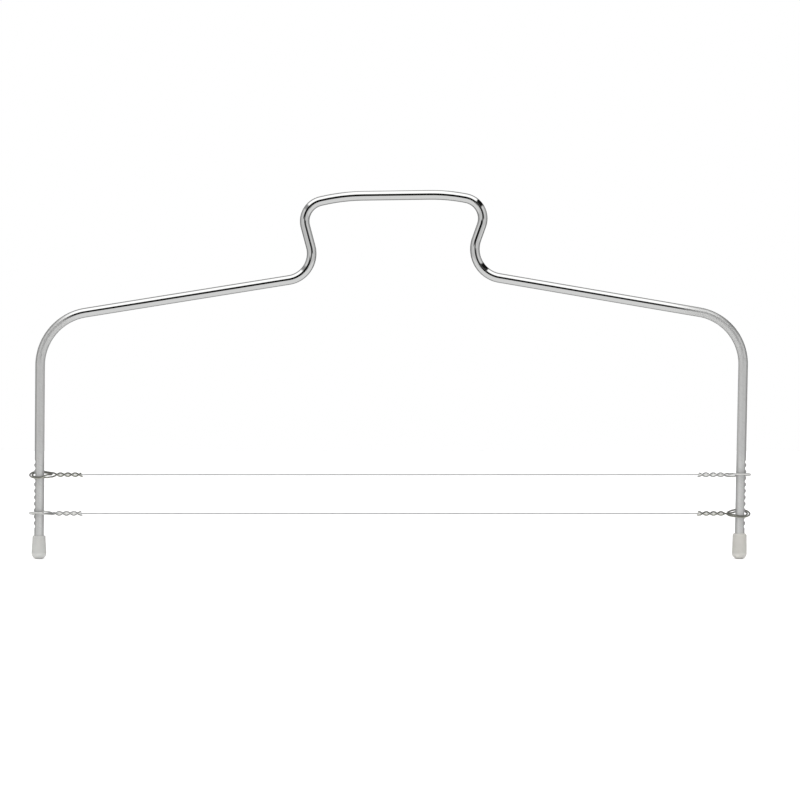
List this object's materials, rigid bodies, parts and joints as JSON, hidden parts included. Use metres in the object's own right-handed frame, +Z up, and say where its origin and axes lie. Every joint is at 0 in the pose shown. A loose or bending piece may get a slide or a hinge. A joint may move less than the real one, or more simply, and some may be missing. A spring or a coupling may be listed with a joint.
{
  "type": "cake leveler",
  "caption": "Hand tool for slicing cake layers: a bent chromed rod with a raised grip, notched legs with plastic foot caps, and taut cutting wires on looped ends.",
  "frame": {"origin": "on the table, midway between the feet and centred front to back", "axes": "+X along the cutting wires to the right foot, +Z up the legs to the grip, -Y faces the viewer and is a cutting direction"},
  "size_m": [0.3403, 0.009, 0.1738],
  "materials": {
    "chromed_rod": "bright chrome plate over round steel rod, faint draw marks along the rod",
    "cap_plastic": "soft off-white moulded plastic, slightly translucent",
    "cutting_wire_steel": "thin drawn stainless wire",
    "loop_wire_steel": "stiff stainless wire, duller and a little darker than the rod"
  },
  "bodies": {
    "frame": {"frame_rod": "chromed_rod", "left_foot_cap": "cap_plastic", "right_foot_cap": "cap_plastic"},
    "upper_wire": {"upper_cutting_wire": "cutting_wire_steel"},
    "lower_wire": {"lower_cutting_wire": "cutting_wire_steel"},
    "upper_left_end": {"upper_left_loop": "loop_wire_steel"},
    "upper_right_end": {"upper_right_loop": "loop_wire_steel"},
    "lower_left_end": {"lower_left_loop": "loop_wire_steel"},
    "lower_right_end": {"lower_right_loop": "loop_wire_steel"}
  },
  "joints": [
    {"name": "upper_wire_slide", "type": "slide", "parent": "frame", "child": "upper_wire", "axis": [0, 0, 1], "range_m": [-0.00304, 0.00608]},
    {"name": "lower_wire_slide", "type": "slide", "parent": "frame", "child": "lower_wire", "axis": [0, 0, 1], "range_m": [-0.00608, 0.00912]},
    {"name": "upper_left_loop_rock", "type": "hinge", "parent": "upper_wire", "child": "upper_left_end", "pos_m": [-0.15314, 0, 0.03972], "axis": [1, 0, 0], "range_deg": [-46, 4]},
    {"name": "upper_right_loop_rock", "type": "hinge", "parent": "upper_wire", "child": "upper_right_end", "pos_m": [0.15339, 0, 0.03972], "axis": [1, 0, 0], "range_deg": [-18, 32]},
    {"name": "lower_left_loop_rock", "type": "hinge", "parent": "lower_wire", "child": "lower_left_end", "pos_m": [-0.15326, 0, 0.02148], "axis": [1, 0, 0], "range_deg": [-17, 33]},
    {"name": "lower_right_loop_rock", "type": "hinge", "parent": "lower_wire", "child": "lower_right_end", "pos_m": [0.15301, 0, 0.02148], "axis": [1, 0, 0], "range_deg": [-48, 2]}
  ]
}
